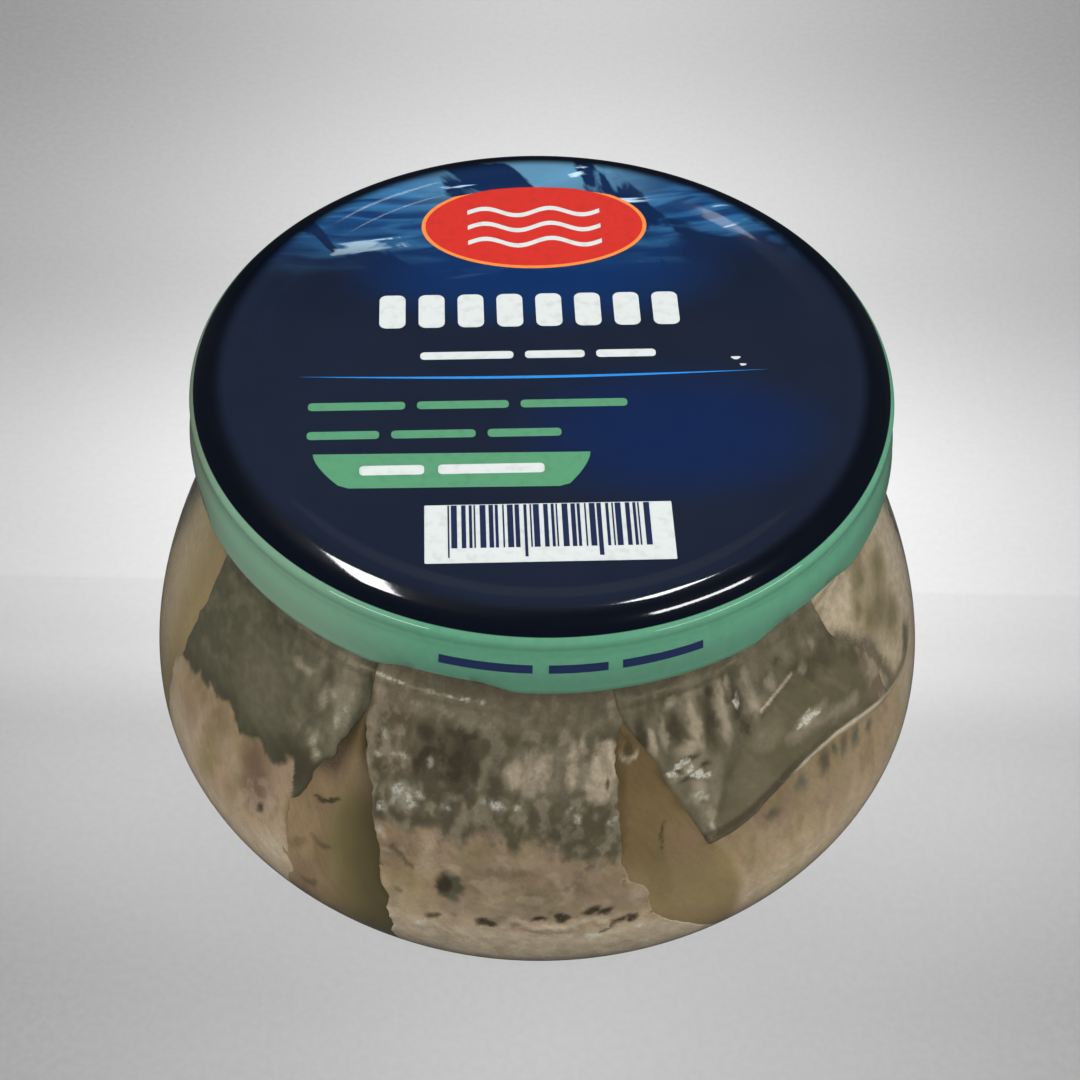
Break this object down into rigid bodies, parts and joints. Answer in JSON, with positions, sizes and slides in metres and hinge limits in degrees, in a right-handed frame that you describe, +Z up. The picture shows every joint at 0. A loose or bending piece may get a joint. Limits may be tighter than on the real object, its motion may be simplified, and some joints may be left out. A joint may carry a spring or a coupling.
{
  "type": "jar of herring fillet pieces",
  "caption": "Squat round clear-glass jar filled with herring fillet pieces in oil, shut with a painted metal twist-off lid.",
  "frame": {"origin": "centre of the jar's round base, on the surface it stands on", "axes": "+Z up along the jar's axis, -Y towards the jar's front, +X to the right as seen from the front"},
  "size_m": [0.1014, 0.1014, 0.0685],
  "materials": {
    "glass": "clear, smooth, slightly warm",
    "lid_paint": "glossy dark blue lacquer with a green rim",
    "herring": "moist fish flesh with remnants of grey skin"
  },
  "bodies": {
    "root": {"jar": "glass", "lid": "lid_paint", "herring_pieces": "herring"}
  },
  "joints": []
}
